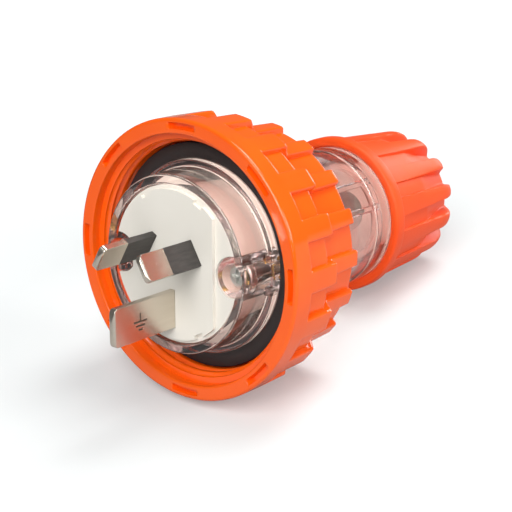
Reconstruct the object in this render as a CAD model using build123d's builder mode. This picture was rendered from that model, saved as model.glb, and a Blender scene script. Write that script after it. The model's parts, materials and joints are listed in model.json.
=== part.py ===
from build123d import *
from math import atan2, cos, degrees, radians, sin
import os

# A sealed three-pin industrial plug, lying on its locking ring and gland nut, pins towards -Y.
# Depths run along the plug's axis, from the face plate towards the cable end. Lengths are in millimetres.

# Fits
seat_gap = 0.05         # between fixed pieces that locate one another
running_gap = 0.3       # between pieces that turn or slide on one another
rest_gap = 0.1          # between flat faces of pieces that turn on one another

# Flat pins
pin_thickness = 1.63
live_pin_width = 6.35
live_pin_length = 17.06
live_pin_radius = 7.92          # from the plug's axis to the pin's centre
live_pin_angle = 30.0           # above the horizontal, on both sides
earth_pin_width = 9.08
earth_pin_length = 19.94
earth_pin_drop = 10.31          # below the plug's axis
pin_tip_radius = 0.9            # corners of the tip, across the width
pin_tip_bevel = 0.45            # edges of the tip, across the thickness
sleeve_length = 9.2
sleeve_wall = 0.35
sleeve_seat = 1.5               # how far the sleeve is let into the carrier

# Pin carrier
plate_half_width = 12.4
plate_radius = 17.8
plate_height = 1.0
notch_angle = 62.5
notch_length = 2.7
notch_depth = 0.9
carrier_radius = 18.6
carrier_flange_radius = 20.2
carrier_flange_depth = 12.0
carrier_block_half_width = 12.2
carrier_block_radius = 18.2
carrier_length = 27.0

# Terminals
terminal_depth = 10.0
terminal_length = 12.0
terminal_wall = 1.2
terminal_thickness = 5.2
stem_engagement = 4.0
wire_bore_radius = 1.6
wire_bore_depth = 7.0
clamp_screw_radius = 1.5
clamp_screw_length = 3.2
clamp_screw_setback = 3.5       # from the terminal's rear face
clamp_slot_width = 0.8
clamp_slot_depth = 1.1
screwdriver_radius = 2.1

# Nose shroud
nose_front_depth = 0.3
nose_radius = 21.2
nose_draft = 0.4                # growth of the wall's radius from rim to base
nose_base_radius = 23.2
nose_base_depth = 8.6
nose_edge_chamfer = 0.5
boss_offset = 17.5
boss_radius = 4.9
boss_front_depth = 1.2
boss_tab_size = 2.0
boss_tab_height = 1.2
boss_tab_rise = 3.7

# Cover screws and inserts
screw_head_radius = 2.9
screw_head_height = 2.0
screw_head_chamfer = 0.7
screw_head_depth = 1.5          # head top, measured from the boss's front
screw_shank_radius = 1.45
screw_length = 17.0             # under the head
screw_hole_radius = 1.7
head_bore_radius = 3.3
recess_length = 3.2
recess_width = 0.8
recess_depth = 1.1
insert_radius = 2.4
insert_length = 8.0

# Body shell
body_front_depth = 14.0
flange_thickness = 3.4
flange_radius = 27.0
barrel_radius = 23.0
barrel_end_depth = 33.0
barrel_bore_radius = 19.0
neck_radius = 17.6
neck_start_depth = 43.0
neck_bore_radius = 14.6
bore_step = 1.0                 # the bore narrows this far ahead of the outside
shoulder_fillet = 5.0
collar_radius = 18.0
collar_front_depth = 57.0
collar_end_depth = 63.4
thread_radius = 16.0
grommet_seat_depth = 66.0
grommet_lip_radius = 11.5
grommet_lip_thickness = 5.0
pillar_radius = 4.0
pillar_length = 15.0
rib_angle = 30.5                # middle of each pair of inside ribs
rib_spread = 25.0
rib_width = 1.2
rib_height = 1.2

# Seals
gasket_depth = 11.0
seal_radius = 21.7
seal_section = 1.4

# Locking ring
ring_front_depth = 3.6
ring_radius = 33.5
ring_edge_chamfer = 0.6
flange_clearance = 1.4          # between the body's flange and the thread's bore
lead_in_width = 1.0
lead_in_depth = 1.2
collar_band_depth = 9.4
block_count = 18
front_block_angle = 9.4
front_block_draft = 0.3         # fall of a block's top, front to rear
rear_block_angle = 8.2
rear_block_height = 1.3         # over the gaps of the rear tier
rear_block_draft = 0.5
pocket_depth = 1.0
pocket_end_depth = 17.0
pocket_clearance = 1.0          # of the pocket cuts over the blocks
tier_split_depth = 18.9
tier_step_length = 2.4          # of the slope between the tiers
ring_rear_depth = 32.5
lip_thickness = 2.6
skirt_clearance = 2.6           # round the body's barrel
skirt_wall = 2.9
skirt_draft = 0.2
slot_count = 8
slot_inset = 1.8                # from the ring's outside to the slot's middle
slot_length = 7.8
slot_width = 1.25
slot_depth = 1.5

# Gland nut
nut_overlap = 1.4               # of the nut's flange over the collar
nut_recess_gap = 0.9            # behind the collar
nut_flange_wall = 2.2
nut_flange_length = 3.6
nut_flange_chamfer = 0.6
nut_grip_radius = 19.7
nut_end_radius = 18.4           # where the ribs begin to round off
nut_end_length = 6.0
nut_bevel_radius = 17.2
nut_bevel_length = 2.2
nut_rear_radius = 15.2
nut_end_wall = 4.5
nut_wall = 2.0                  # over the thread, under the channels
cable_hole_radius = 9.5
channel_count = 14
channel_width = 3.9
channel_front_depth = 0.5
channel_rear_radius = 14.8
channel_fall_length = 16.0      # from the knee of the channel's floor to the nut's rear face

# Cable grip
cable_radius = 5.25
grommet_radius = 13.0
grommet_length = 11.0
grip_flange_radius = 15.7
grip_flange_thickness = 2.5
grip_bore_radius = 6.4
grip_front_radius = 13.4
grip_rear_radius = 10.3
grip_finger_length = 11.5
grip_end_gap = 0.5
grip_slit_count = 8
grip_slit_width = 1.2
grip_slit_length = 9.0
washer_inner_radius = 13.9
washer_outer_radius = 15.9
washer_thickness = 1.5

# Places that follow from the sizes above
flange_rear_depth = body_front_depth + flange_thickness
lip_front_depth = flange_rear_depth + running_gap
lip_rear_depth = lip_front_depth + lip_thickness
lip_radius = barrel_radius + running_gap
thread_bore_radius = flange_radius + flange_clearance
lead_in_radius = thread_bore_radius + lead_in_width
ring_tier_radius = ring_radius - front_block_draft
pocket_radius = ring_radius - pocket_depth
skirt_bore_radius = barrel_radius + skirt_clearance
rear_gap_front_radius = skirt_bore_radius + skirt_wall
rear_gap_rear_radius = rear_gap_front_radius - skirt_draft
rear_block_front_radius = rear_gap_front_radius + rear_block_height
rear_block_rear_radius = rear_block_front_radius - rear_block_draft
slot_radius = ring_radius - slot_inset
nose_bore_radius = carrier_radius + running_gap
collar_clear_radius = collar_radius + running_gap
nut_bore_radius = thread_radius + running_gap
nut_flange_radius = collar_clear_radius + nut_flange_wall
nut_front_depth = collar_end_depth - nut_overlap
nut_recess_depth = collar_end_depth + nut_recess_gap
nut_grip_depth = nut_front_depth + nut_flange_length
grommet_lip_depth = grommet_seat_depth - grommet_lip_thickness
neck_end_depth = grommet_seat_depth + grommet_length
grip_flange_rear = neck_end_depth + grip_flange_thickness
grip_rear_depth = grip_flange_rear + grip_finger_length
grip_slit_start = grip_rear_depth - grip_slit_length
cable_hole_depth = grip_rear_depth + grip_end_gap
nut_rear_depth = cable_hole_depth + nut_end_wall
washer_front_depth = grip_flange_rear + rest_gap
washer_rear_depth = washer_front_depth + washer_thickness
nut_shoulder_depth = washer_rear_depth + rest_gap
screw_head_top = boss_front_depth + screw_head_depth
screw_seat_depth = screw_head_top + screw_head_height
core_width = live_pin_width - 2 * sleeve_wall
core_thickness = pin_thickness - 2 * sleeve_wall
stem_depth = terminal_depth + stem_engagement
clamp_screw_depth = terminal_depth + terminal_length - clamp_screw_setback
block_pitch = 360 / block_count
front_gap_angle = block_pitch - front_block_angle
rear_gap_angle = block_pitch - rear_block_angle
rear_gap_depth = pocket_end_depth + tier_step_length
pocket_top_radius = ring_radius + pocket_clearance
grip_taper = (grip_front_radius - grip_rear_radius) / (grip_rear_depth - grip_flange_rear)

# The plug lies on two blocks of the ring and one rib of the nut, so its axis slopes up towards the pins.
ring_touch_radius = ring_tier_radius * cos(radians(front_gap_angle / 2))
nut_end_depth = nut_rear_depth - nut_end_length
slope = atan2(ring_touch_radius - nut_end_radius, nut_end_depth - tier_split_depth)

# The origin is on the floor, under the middle of the plug's length.
tip_reach = earth_pin_length - pin_tip_radius
tip_drop = earth_pin_drop + earth_pin_width / 2 - pin_tip_radius
front_reach = tip_reach * cos(slope) + tip_drop * sin(slope) + pin_tip_radius
rear_reach = nut_rear_depth * cos(slope) + nut_rear_radius * sin(slope)
plate_height_over_floor = ring_touch_radius * cos(slope) + tier_split_depth * sin(slope)
plug_plane = Plane(
    origin=(0, (front_reach - rear_reach) / 2, plate_height_over_floor),
    x_dir=(1, 0, 0),
    z_dir=(0, -cos(slope), sin(slope)),
)
plug_axis = Axis(plug_plane.origin, plug_plane.z_dir)
print(f"slope {degrees(slope):.4f} degrees, face plate centre {tuple(plug_plane.origin)}")


def face_at(depth):
    return plug_plane.offset(-depth)


# Half section: x is the distance from the axis, y is the depth.
def section_at(angle=90):
    radial = plug_plane.x_dir * cos(radians(angle)) + plug_plane.y_dir * sin(radians(angle))
    return Plane(origin=plug_plane.origin, x_dir=radial, z_dir=radial.cross(-plug_plane.z_dir))


# A pole's own plane: x is the way its clamp screw faces, y runs across the pin's width.
def pole_plane(across, up, facing):
    outward = plug_plane.x_dir * cos(radians(facing)) + plug_plane.y_dir * sin(radians(facing))
    return Plane(origin=plug_plane.from_local_coords(Vector(across, up, 0)), x_dir=outward, z_dir=plug_plane.z_dir)


# Where a pole's clamp screw meets the wire, facing outwards
def clamp_plane(pole):
    return Plane(pole.from_local_coords(Vector(0, 0, -clamp_screw_depth)), z_dir=pole.x_dir)


def corner(sketch, radius, depth):
    return sketch.vertices().sort_by_distance((radius, depth, 0))[0]


def save(piece, name):
    piece.part.label = name
    export_step(piece.part, f"parts/{name}.step")


live_across = live_pin_radius * cos(radians(live_pin_angle))
live_up = live_pin_radius * sin(radians(live_pin_angle))
live_poles = {
    "active": pole_plane(live_across, live_up, live_pin_angle),
    "neutral": pole_plane(-live_across, live_up, 180 - live_pin_angle),
}
earth_pole = pole_plane(0, -earth_pin_drop, 0)
poles = {**live_poles, "earth": earth_pole}
stem_width = {"active": core_width, "neutral": core_width, "earth": earth_pin_width}
stem_thickness = {"active": core_thickness, "neutral": core_thickness, "earth": pin_thickness}
blade_width = {"active": live_pin_width, "neutral": live_pin_width, "earth": earth_pin_width}
blade_foot = {"active": sleeve_length, "neutral": sleeve_length, "earth": 0}
blade_tip = {"active": live_pin_length, "neutral": live_pin_length, "earth": earth_pin_length}

os.makedirs("parts", exist_ok=True)

# Locking ring: a threaded skirt with a captive lip, and two tiers of blocks with pockets cut between them
with BuildPart() as locking_ring:
    with BuildSketch(section_at()):
        with BuildLine():
            Polyline(
                (lead_in_radius, ring_front_depth),
                (ring_radius - ring_edge_chamfer, ring_front_depth),
                (ring_radius, ring_front_depth + ring_edge_chamfer),
                (ring_radius, collar_band_depth),
                (ring_tier_radius, tier_split_depth),
                (rear_block_front_radius, tier_split_depth + tier_step_length),
                (rear_block_rear_radius, ring_rear_depth),
                (skirt_bore_radius, ring_rear_depth),
                (skirt_bore_radius, lip_rear_depth),
                (lip_radius, lip_rear_depth),
                (lip_radius, lip_front_depth),
                (thread_bore_radius, lip_front_depth),
                (thread_bore_radius, ring_front_depth + lead_in_depth),
                close=True,
            )
        make_face()
    revolve(axis=plug_axis)
    for pocket in range(block_count):
        middle = pocket * block_pitch + block_pitch / 2
        with BuildSketch(section_at(middle - front_gap_angle / 2)):
            with BuildLine():
                Polyline(
                    (pocket_radius, collar_band_depth),
                    (pocket_top_radius, collar_band_depth),
                    (pocket_top_radius, rear_gap_depth),
                    (rear_gap_front_radius, rear_gap_depth),
                    (pocket_radius, pocket_end_depth),
                    close=True,
                )
            make_face()
        revolve(axis=plug_axis, revolution_arc=front_gap_angle, mode=Mode.SUBTRACT)
        with BuildSketch(section_at(middle - rear_gap_angle / 2)):
            with BuildLine():
                Polyline(
                    (rear_gap_front_radius, rear_gap_depth),
                    (pocket_top_radius, rear_gap_depth),
                    (pocket_top_radius, ring_rear_depth),
                    (rear_gap_rear_radius, ring_rear_depth),
                    close=True,
                )
            make_face()
        revolve(axis=plug_axis, revolution_arc=rear_gap_angle, mode=Mode.SUBTRACT)
    with BuildSketch(face_at(ring_front_depth)):
        with PolarLocations(slot_radius, slot_count):
            Rectangle(slot_width, slot_length)
    extrude(amount=-slot_depth, mode=Mode.SUBTRACT)
save(locking_ring, "locking_ring")

# Body shell: flange for the ring, barrel round the terminals, neck and collar for the gland
with BuildPart() as body_shell:
    with BuildSketch(section_at()) as body_section:
        with BuildLine():
            Polyline(
                (barrel_bore_radius, body_front_depth),
                (flange_radius, body_front_depth),
                (flange_radius, flange_rear_depth),
                (barrel_radius, flange_rear_depth),
                (barrel_radius, barrel_end_depth),
                (neck_radius, neck_start_depth),
                (neck_radius, collar_front_depth),
                (collar_radius, collar_front_depth),
                (collar_radius, collar_end_depth),
                (thread_radius, collar_end_depth),
                (thread_radius, neck_end_depth),
                (grommet_radius + seat_gap, neck_end_depth),
                (grommet_radius + seat_gap, grommet_seat_depth),
                (grommet_lip_radius, grommet_seat_depth),
                (grommet_lip_radius, grommet_lip_depth),
                (neck_bore_radius, grommet_lip_depth),
                (neck_bore_radius, neck_start_depth - bore_step),
                (barrel_bore_radius, barrel_end_depth - bore_step),
                close=True,
            )
        make_face()
        fillet(corner(body_section, barrel_radius, barrel_end_depth), shoulder_fillet)
        fillet(corner(body_section, neck_radius, neck_start_depth), shoulder_fillet)
    revolve(axis=plug_axis)
    with BuildSketch(face_at(body_front_depth)):
        with GridLocations(2 * boss_offset, 0, 2, 1):
            Circle(pillar_radius)
    extrude(amount=-pillar_length)
    with BuildSketch(section_at()):
        with Locations((seal_radius, body_front_depth + seal_section / 2)):
            Rectangle(seal_section, seal_section)
    revolve(axis=plug_axis, mode=Mode.SUBTRACT)
    with BuildSketch(face_at(body_front_depth)):
        with GridLocations(2 * boss_offset, 0, 2, 1):
            Circle(insert_radius + seat_gap)
    extrude(amount=-insert_length, mode=Mode.SUBTRACT)
    for side in (0, 180):
        for turn in (-rib_spread / 2, rib_spread / 2):
            with BuildSketch(section_at(side + rib_angle + turn)):
                with Locations((neck_bore_radius, (neck_start_depth + grommet_lip_depth) / 2)):
                    Rectangle(2 * rib_height, grommet_lip_depth - neck_start_depth)
            extrude(amount=rib_width / 2, both=True)
save(body_shell, "body_shell")

# Nose shroud: drafted wall on a wider base, with a screw boss on each side
with BuildPart() as nose_shroud:
    with BuildSketch(section_at()) as nose_section:
        with BuildLine():
            Polyline(
                (nose_bore_radius, nose_front_depth),
                (nose_radius, nose_front_depth),
                (nose_radius + nose_draft, nose_base_depth),
                (nose_base_radius, nose_base_depth),
                (nose_base_radius, body_front_depth),
                (carrier_flange_radius + seat_gap, body_front_depth),
                (carrier_flange_radius + seat_gap, carrier_flange_depth),
                (nose_bore_radius, carrier_flange_depth),
                close=True,
            )
        make_face()
        chamfer(corner(nose_section, nose_radius, nose_front_depth), nose_edge_chamfer)
        chamfer(corner(nose_section, nose_base_radius, nose_base_depth), nose_edge_chamfer)
    revolve(axis=plug_axis)
    with BuildSketch(face_at(boss_front_depth)):
        with GridLocations(2 * boss_offset, 0, 2, 1):
            Circle(boss_radius)
    extrude(amount=boss_front_depth - body_front_depth)
    with BuildSketch(face_at(nose_base_depth)):
        with GridLocations(2 * (nose_base_radius - boss_tab_size / 2), 2 * boss_tab_rise, 2, 2):
            Rectangle(boss_tab_size, boss_tab_size)
    extrude(amount=boss_tab_height)
    with BuildSketch(face_at(boss_front_depth)):
        with GridLocations(2 * boss_offset, 0, 2, 1):
            Circle(head_bore_radius)
    extrude(amount=boss_front_depth - screw_seat_depth, mode=Mode.SUBTRACT)
    with BuildSketch(face_at(screw_seat_depth)):
        with GridLocations(2 * boss_offset, 0, 2, 1):
            Circle(screw_hole_radius)
    extrude(amount=screw_seat_depth - body_front_depth, mode=Mode.SUBTRACT)
save(nose_shroud, "nose_shroud")

# Face gasket: flat rubber ring on the body's flange
with BuildPart() as face_gasket:
    with BuildSketch(face_at(gasket_depth)):
        Circle(flange_radius)
        Circle(nose_base_radius + seat_gap, mode=Mode.SUBTRACT)
    extrude(amount=gasket_depth - body_front_depth)
save(face_gasket, "face_gasket")

# Nose seal: square ring in the groove under the shroud
with BuildPart() as nose_seal:
    with BuildSketch(face_at(body_front_depth)):
        Circle(seal_radius + seal_section / 2 - seat_gap)
        Circle(seal_radius - seal_section / 2 + seat_gap, mode=Mode.SUBTRACT)
    extrude(amount=-seal_section)
save(nose_seal, "nose_seal")

# Pin carrier: raised face plate, round front clamped by its flange, and a flat-sided block for the terminals
with BuildPart() as pin_carrier:
    with BuildSketch(face_at(0)):
        Circle(plate_radius)
        Rectangle(2 * plate_half_width, 2 * plate_radius, mode=Mode.INTERSECT)
        for side in (notch_angle, 180 - notch_angle, -notch_angle, notch_angle - 180):
            with PolarLocations(plate_radius, 1, start_angle=side):
                Rectangle(2 * notch_depth, notch_length, mode=Mode.SUBTRACT)
    extrude(amount=-plate_height)
    with BuildSketch(face_at(plate_height)):
        Circle(carrier_radius)
    extrude(amount=plate_height - carrier_flange_depth)
    with BuildSketch(face_at(carrier_flange_depth)):
        Circle(carrier_flange_radius)
    extrude(amount=carrier_flange_depth - body_front_depth)
    with BuildSketch(face_at(body_front_depth)):
        Circle(carrier_block_radius)
        Rectangle(2 * carrier_block_half_width, 2 * carrier_block_radius, mode=Mode.INTERSECT)
    extrude(amount=body_front_depth - carrier_length)
    with BuildSketch(face_at(plate_height)):
        with GridLocations(2 * boss_offset, 0, 2, 1):
            Circle(boss_radius + seat_gap)
    extrude(amount=plate_height - body_front_depth, mode=Mode.SUBTRACT)
    for name, pole in poles.items():
        with BuildSketch(pole):
            Rectangle(stem_thickness[name] + 2 * seat_gap, stem_width[name] + 2 * seat_gap)
        extrude(amount=-terminal_depth, mode=Mode.SUBTRACT)
        with BuildSketch(pole.offset(-terminal_depth)):
            Rectangle(terminal_thickness + 2 * seat_gap, stem_width[name] + 2 * (terminal_wall + seat_gap))
        extrude(amount=terminal_depth - carrier_length, mode=Mode.SUBTRACT)
        with BuildSketch(clamp_plane(pole)):
            Circle(screwdriver_radius)
        extrude(amount=carrier_radius, mode=Mode.SUBTRACT)
    for pole in live_poles.values():
        with BuildSketch(pole):
            Rectangle(pin_thickness + 2 * seat_gap, live_pin_width + 2 * seat_gap)
        extrude(amount=-sleeve_seat, mode=Mode.SUBTRACT)
save(pin_carrier, "pin_carrier")

# Pins: a blade rounded and bevelled at its tip, and a stem down to the terminal, thinner inside a sleeve
for name, pole in poles.items():
    blade_middle = (blade_foot[name] + blade_tip[name]) / 2
    blade_length = blade_tip[name] - blade_foot[name]
    with BuildPart() as pin:
        with BuildSketch(Plane(pole.origin, x_dir=pole.y_dir, z_dir=pole.x_dir)) as broad_side:
            with Locations((0, blade_middle)):
                Rectangle(blade_width[name], blade_length)
            fillet(broad_side.vertices().sort_by(Axis.Y)[-2:], pin_tip_radius)
        extrude(amount=pin_thickness / 2, both=True)
        with BuildSketch(Plane(pole.origin, x_dir=pole.x_dir, z_dir=-pole.y_dir)) as narrow_side:
            with Locations((0, blade_middle)):
                Rectangle(pin_thickness, blade_length)
            chamfer(narrow_side.vertices().sort_by(Axis.Y)[-2:], pin_tip_bevel)
        extrude(amount=blade_width[name] / 2, both=True, mode=Mode.INTERSECT)
        with BuildSketch(pole.offset(blade_foot[name])):
            Rectangle(stem_thickness[name], stem_width[name])
        extrude(amount=-blade_foot[name] - stem_depth)
    save(pin, f"{name}_pin")

# Pin sleeves: moulded on the live pins' cores, flush with the blades
for name, pole in live_poles.items():
    with BuildPart() as pin_sleeve:
        with BuildSketch(pole.offset(sleeve_length)):
            Rectangle(pin_thickness, live_pin_width)
            Rectangle(core_thickness, core_width, mode=Mode.SUBTRACT)
        extrude(amount=-sleeve_length - sleeve_seat)
    save(pin_sleeve, f"{name}_sleeve")

# Terminals: brass tunnels behind the pins, each with a clamp screw
for name, pole in poles.items():
    with BuildPart() as terminal:
        with BuildSketch(pole.offset(-terminal_depth)):
            Rectangle(terminal_thickness, stem_width[name] + 2 * terminal_wall)
        extrude(amount=-terminal_length)
        with BuildSketch(pole.offset(-terminal_depth)):
            Rectangle(stem_thickness[name] + 2 * seat_gap, stem_width[name] + 2 * seat_gap)
        extrude(amount=-stem_engagement, mode=Mode.SUBTRACT)
        with BuildSketch(pole.offset(-terminal_depth - terminal_length)):
            Circle(wire_bore_radius)
        extrude(amount=wire_bore_depth, mode=Mode.SUBTRACT)
        with BuildSketch(clamp_plane(pole)):
            Circle(clamp_screw_radius + seat_gap)
        extrude(amount=terminal_thickness, mode=Mode.SUBTRACT)
    save(terminal, f"{name}_terminal")
    with BuildPart() as clamp_screw:
        with BuildSketch(clamp_plane(pole).offset(wire_bore_radius / 2)):
            Circle(clamp_screw_radius)
        extrude(amount=clamp_screw_length)
        with BuildSketch(clamp_plane(pole).offset(wire_bore_radius / 2 + clamp_screw_length)):
            Rectangle(2 * clamp_screw_radius, clamp_slot_width)
        extrude(amount=-clamp_slot_depth, mode=Mode.SUBTRACT)
    save(clamp_screw, f"{name}_clamp_screw")

# Cover screws and their inserts: they draw the shroud onto the body
for name, side in {"right": boss_offset, "left": -boss_offset}.items():
    boss_plane = pole_plane(side, 0, 0)
    with BuildPart() as cover_screw:
        with BuildSketch(boss_plane.offset(-screw_head_top)):
            Circle(screw_head_radius)
        extrude(amount=-screw_head_height)
        chamfer(cover_screw.faces().sort_by(plug_axis)[-1].edges(), screw_head_chamfer)
        with BuildSketch(boss_plane.offset(-screw_seat_depth)):
            Circle(screw_shank_radius)
        extrude(amount=-screw_length)
        with BuildSketch(boss_plane.offset(-screw_head_top)):
            Rectangle(recess_length, recess_width)
            Rectangle(recess_width, recess_length)
        extrude(amount=-recess_depth, mode=Mode.SUBTRACT)
    save(cover_screw, f"{name}_cover_screw")
    with BuildPart() as insert:
        with BuildSketch(boss_plane.offset(-body_front_depth)):
            Circle(insert_radius)
            Circle(screw_shank_radius + seat_gap, mode=Mode.SUBTRACT)
        extrude(amount=-insert_length)
    save(insert, f"{name}_insert")

# Cable grommet: rubber bush in the mouth of the neck
with BuildPart() as cable_grommet:
    with BuildSketch(face_at(grommet_seat_depth)):
        Circle(grommet_radius)
        Circle(cable_radius, mode=Mode.SUBTRACT)
    extrude(amount=grommet_seat_depth - neck_end_depth)
save(cable_grommet, "cable_grommet")

# Cord grip: a collet whose slit fingers the nut closes on the cable
with BuildPart() as cord_grip:
    with BuildSketch(section_at()):
        with BuildLine():
            Polyline(
                (grip_bore_radius, neck_end_depth),
                (grip_flange_radius, neck_end_depth),
                (grip_flange_radius, grip_flange_rear),
                (grip_front_radius, grip_flange_rear),
                (grip_rear_radius, grip_rear_depth),
                (grip_bore_radius, grip_rear_depth),
                close=True,
            )
        make_face()
    revolve(axis=plug_axis)
    with BuildSketch(face_at(grip_slit_start)):
        with PolarLocations(grip_front_radius / 2 + grip_bore_radius / 2, grip_slit_count):
            Rectangle(2 * (grip_front_radius - grip_bore_radius), grip_slit_width)
    extrude(amount=grip_slit_start - grip_rear_depth, mode=Mode.SUBTRACT)
save(cord_grip, "cord_grip")

# Slip washer: lets the nut turn without twisting the grip
with BuildPart() as slip_washer:
    with BuildSketch(face_at(washer_front_depth)):
        Circle(washer_outer_radius)
        Circle(washer_inner_radius, mode=Mode.SUBTRACT)
    extrude(amount=-washer_thickness)
save(slip_washer, "slip_washer")

# Gland nut: flanged, tapered and ribbed, with a cone that closes the grip
cone_front_radius = grip_front_radius + running_gap - grip_taper * (nut_shoulder_depth - grip_flange_rear)
cone_rear_radius = grip_rear_radius + running_gap - grip_taper * (cable_hole_depth - grip_rear_depth)
with BuildPart() as gland_nut:
    with BuildSketch(section_at()) as nut_section:
        with BuildLine():
            Polyline(
                (collar_clear_radius, nut_front_depth),
                (nut_flange_radius, nut_front_depth),
                (nut_flange_radius, nut_grip_depth),
                (nut_grip_radius, nut_grip_depth),
                (nut_end_radius, nut_end_depth),
                (nut_bevel_radius, nut_rear_depth - nut_bevel_length),
                (nut_rear_radius, nut_rear_depth),
                (cable_hole_radius, nut_rear_depth),
                (cable_hole_radius, cable_hole_depth),
                (cone_rear_radius, cable_hole_depth),
                (cone_front_radius, nut_shoulder_depth),
                (nut_bore_radius, nut_shoulder_depth),
                (nut_bore_radius, nut_recess_depth),
                (collar_clear_radius, nut_recess_depth),
                close=True,
            )
        make_face()
        chamfer(corner(nut_section, nut_flange_radius, nut_front_depth), nut_flange_chamfer)
    revolve(axis=plug_axis)
    for channel in range(channel_count):
        with BuildSketch(section_at(channel * 360 / channel_count)):
            with BuildLine():
                Polyline(
                    (nut_grip_radius - channel_front_depth, nut_grip_depth),
                    (nut_bore_radius + nut_wall, nut_rear_depth - channel_fall_length),
                    (channel_rear_radius, nut_rear_depth),
                    (nut_flange_radius, nut_rear_depth),
                    (nut_flange_radius, nut_grip_depth),
                    close=True,
                )
            make_face()
        extrude(amount=channel_width / 2, both=True, mode=Mode.SUBTRACT)
save(gland_nut, "gland_nut")
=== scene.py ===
import bpy
import bmesh
import json
import math
from mathutils import Matrix, Vector

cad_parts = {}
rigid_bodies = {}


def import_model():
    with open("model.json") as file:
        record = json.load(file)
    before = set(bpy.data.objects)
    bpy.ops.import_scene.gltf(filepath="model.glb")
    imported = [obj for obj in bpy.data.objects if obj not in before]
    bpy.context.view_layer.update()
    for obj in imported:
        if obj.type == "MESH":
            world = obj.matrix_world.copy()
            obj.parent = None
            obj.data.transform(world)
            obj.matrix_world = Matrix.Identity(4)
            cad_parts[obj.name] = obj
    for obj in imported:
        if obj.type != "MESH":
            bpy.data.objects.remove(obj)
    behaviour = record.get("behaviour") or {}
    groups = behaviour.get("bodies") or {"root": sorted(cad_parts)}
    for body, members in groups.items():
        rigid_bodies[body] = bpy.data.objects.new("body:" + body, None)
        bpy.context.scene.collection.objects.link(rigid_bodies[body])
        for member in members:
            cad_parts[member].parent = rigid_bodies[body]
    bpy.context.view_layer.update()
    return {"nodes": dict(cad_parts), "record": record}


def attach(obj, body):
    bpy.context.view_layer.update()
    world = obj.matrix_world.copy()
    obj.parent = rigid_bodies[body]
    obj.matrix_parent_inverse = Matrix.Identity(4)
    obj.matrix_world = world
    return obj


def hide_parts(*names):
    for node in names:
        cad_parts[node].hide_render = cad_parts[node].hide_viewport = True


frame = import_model()
print("frame loaded:", len(frame["nodes"]), "nodes")

mm = 0.001  # one millimetre in metres

# The plug's own axes: right and up when the pins are faced, and out of the face plate
mounts = {mount["name"]: mount for mount in frame["record"]["mounts"]}
outAxis = Vector(mounts["flat_pins"]["axis"]).normalized()
rightAxis = Vector((1, 0, 0))
upAxis = outAxis.cross(rightAxis)
plugMatrix = Matrix((rightAxis, upAxis, outAxis)).transposed().to_4x4()
plugMatrix.translation = Vector(mounts["flat_pins"]["pos_m"])


def plugPoint(right, up, depth):  # millimetres behind the face plate, to metres in the room
    return plugMatrix @ (Vector((right, up, -depth)) * mm)


def toLinear(code):  # sRGB hex to linear
    parts = [int(code[k:k + 2], 16) / 255 for k in (1, 3, 5)]
    return [c / 12.92 if c <= 0.04045 else ((c + 0.055) / 1.055) ** 2.4 for c in parts] + [1.0]


def addNode(tree, kind, props={}, values={}, links={}):
    node = tree.nodes.new(kind)
    for key, value in props.items():
        setattr(node, key, value)
    for key, value in values.items():
        node.inputs[key].default_value = value
    for key, source in links.items():
        tree.links.new(source, node.inputs[key])
    return node


def perMetre(sizeMm):  # pattern scale for a feature of that size
    return 1000 / sizeMm


def clamp(x):
    return min(1, max(0, x))


def smoothStep(low, high, x):
    t = clamp((x - low) / (high - low))
    return t * t * (3 - 2 * t)


def mix(a, b, t):
    return a + (b - a) * t


grainHeight = 0.2 * mm


# A material from its own look: two shades in soft patches, gloss that follows them, and a grain in the skin
def makeMaterial(name, look):
    material = bpy.data.materials.new(name)
    material.use_nodes = True
    tree = material.node_tree
    shader = tree.nodes["Principled BSDF"]
    for key, value in look["shader"].items():
        shader.inputs[key].default_value = value
    place = addNode(tree, "ShaderNodeTexCoord").outputs["Object"]
    if "stretch" in look:  # drawn out along the plug's axis
        along = {"Rotation": plugMatrix.to_euler(), "Scale": (1, 1, look["stretch"])}
        lines = addNode(tree, "ShaderNodeMapping", {"vector_type": "TEXTURE"}, along, {"Vector": place})
        place = lines.outputs["Vector"]
    patch = addNode(tree, "ShaderNodeTexNoise", {}, {"Scale": perMetre(look["patchMm"])}, {"Vector": place})
    shades = {"A": toLinear(look["dark"]), "B": toLinear(look["light"])}
    tint = addNode(tree, "ShaderNodeMix", {"data_type": "RGBA"}, shades, {"Factor": patch.outputs["Fac"]})
    tree.links.new(tint.outputs["Result"], shader.inputs["Base Color"])
    low, high = look["gloss"]
    gloss = addNode(tree, "ShaderNodeMapRange", {}, {"To Min": low, "To Max": high},
                    {"Value": patch.outputs["Fac"]})
    tree.links.new(gloss.outputs["Result"], shader.inputs["Roughness"])
    grain = addNode(tree, "ShaderNodeTexNoise", {}, {"Scale": perMetre(look["grainMm"])}, {"Vector": place})
    skin = addNode(tree, "ShaderNodeBump", {}, {"Strength": look["bump"], "Distance": grainHeight},
                   {"Height": grain.outputs["Fac"]})
    tree.links.new(skin.outputs["Normal"], shader.inputs["Normal"])
    return material


# ABS, injection moulded in a polished tool: even yellowish orange, crisp highlights on every edge
orangeAbs = {"dark": "#FA5A0A", "light": "#FF660E", "patchMm": 9.0, "gloss": (0.08, 0.12), "grainMm": 0.5,
             "bump": 0.02, "shader": {"IOR": 1.53, "Specular IOR Level": 0.5}}
absMaterial = makeMaterial("orangeAbsMoulded", orangeAbs)

# Nylon, injection moulded in a fine-blasted tool: softer, pinker orange with a broad sheen
orangeNylon = {"dark": "#F04B12", "light": "#F8581A", "patchMm": 7.0, "gloss": (0.4, 0.48), "grainMm": 0.45,
               "bump": 0.1, "shader": {"IOR": 1.53, "Specular IOR Level": 0.3}}
nylonMaterial = makeMaterial("orangeNylonMoulded", orangeNylon)

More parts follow.
